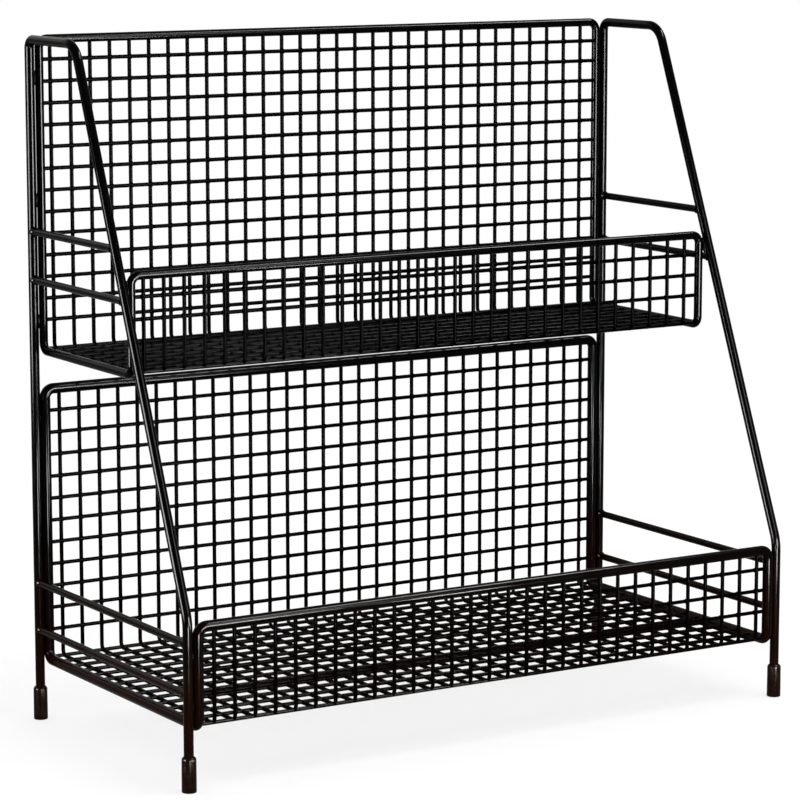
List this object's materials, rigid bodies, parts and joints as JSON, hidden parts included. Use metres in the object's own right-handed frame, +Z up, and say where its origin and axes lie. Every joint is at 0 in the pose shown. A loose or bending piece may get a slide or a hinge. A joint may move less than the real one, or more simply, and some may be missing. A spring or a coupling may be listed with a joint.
{
  "type": "countertop display stand",
  "caption": "Two-tier open stand of black coated steel rod with welded wire mesh shelves, backs and front lips, on four rubber caps.",
  "frame": {"origin": "on the table, under the middle of the stand's outer box", "axes": "+X to the right along the shelves, +Y to the back, +Z up"},
  "size_m": [0.4072, 0.1924, 0.3997],
  "materials": {
    "coated_rod": "smooth glossy black coat",
    "coated_wire": "glossy black coat",
    "foot_rubber": "satin moulded rubber"
  },
  "bodies": {
    "root": {"side_frame_left": "coated_rod", "upper_rail_high_left": "coated_rod", "upper_rail_low_left": "coated_rod", "lower_rail_high_left": "coated_rod", "lower_rail_low_left": "coated_rod", "foot_front_left": "foot_rubber", "foot_rear_left": "foot_rubber", "side_frame_right": "coated_rod", "upper_rail_high_right": "coated_rod", "upper_rail_low_right": "coated_rod", "lower_rail_high_right": "coated_rod", "lower_rail_low_right": "coated_rod", "foot_front_right": "foot_rubber", "foot_rear_right": "foot_rubber", "upper_shelf_rim": "coated_rod", "upper_shelf_mesh": "coated_wire", "lower_shelf_rim": "coated_rod", "lower_shelf_mesh": "coated_wire"}
  },
  "joints": []
}
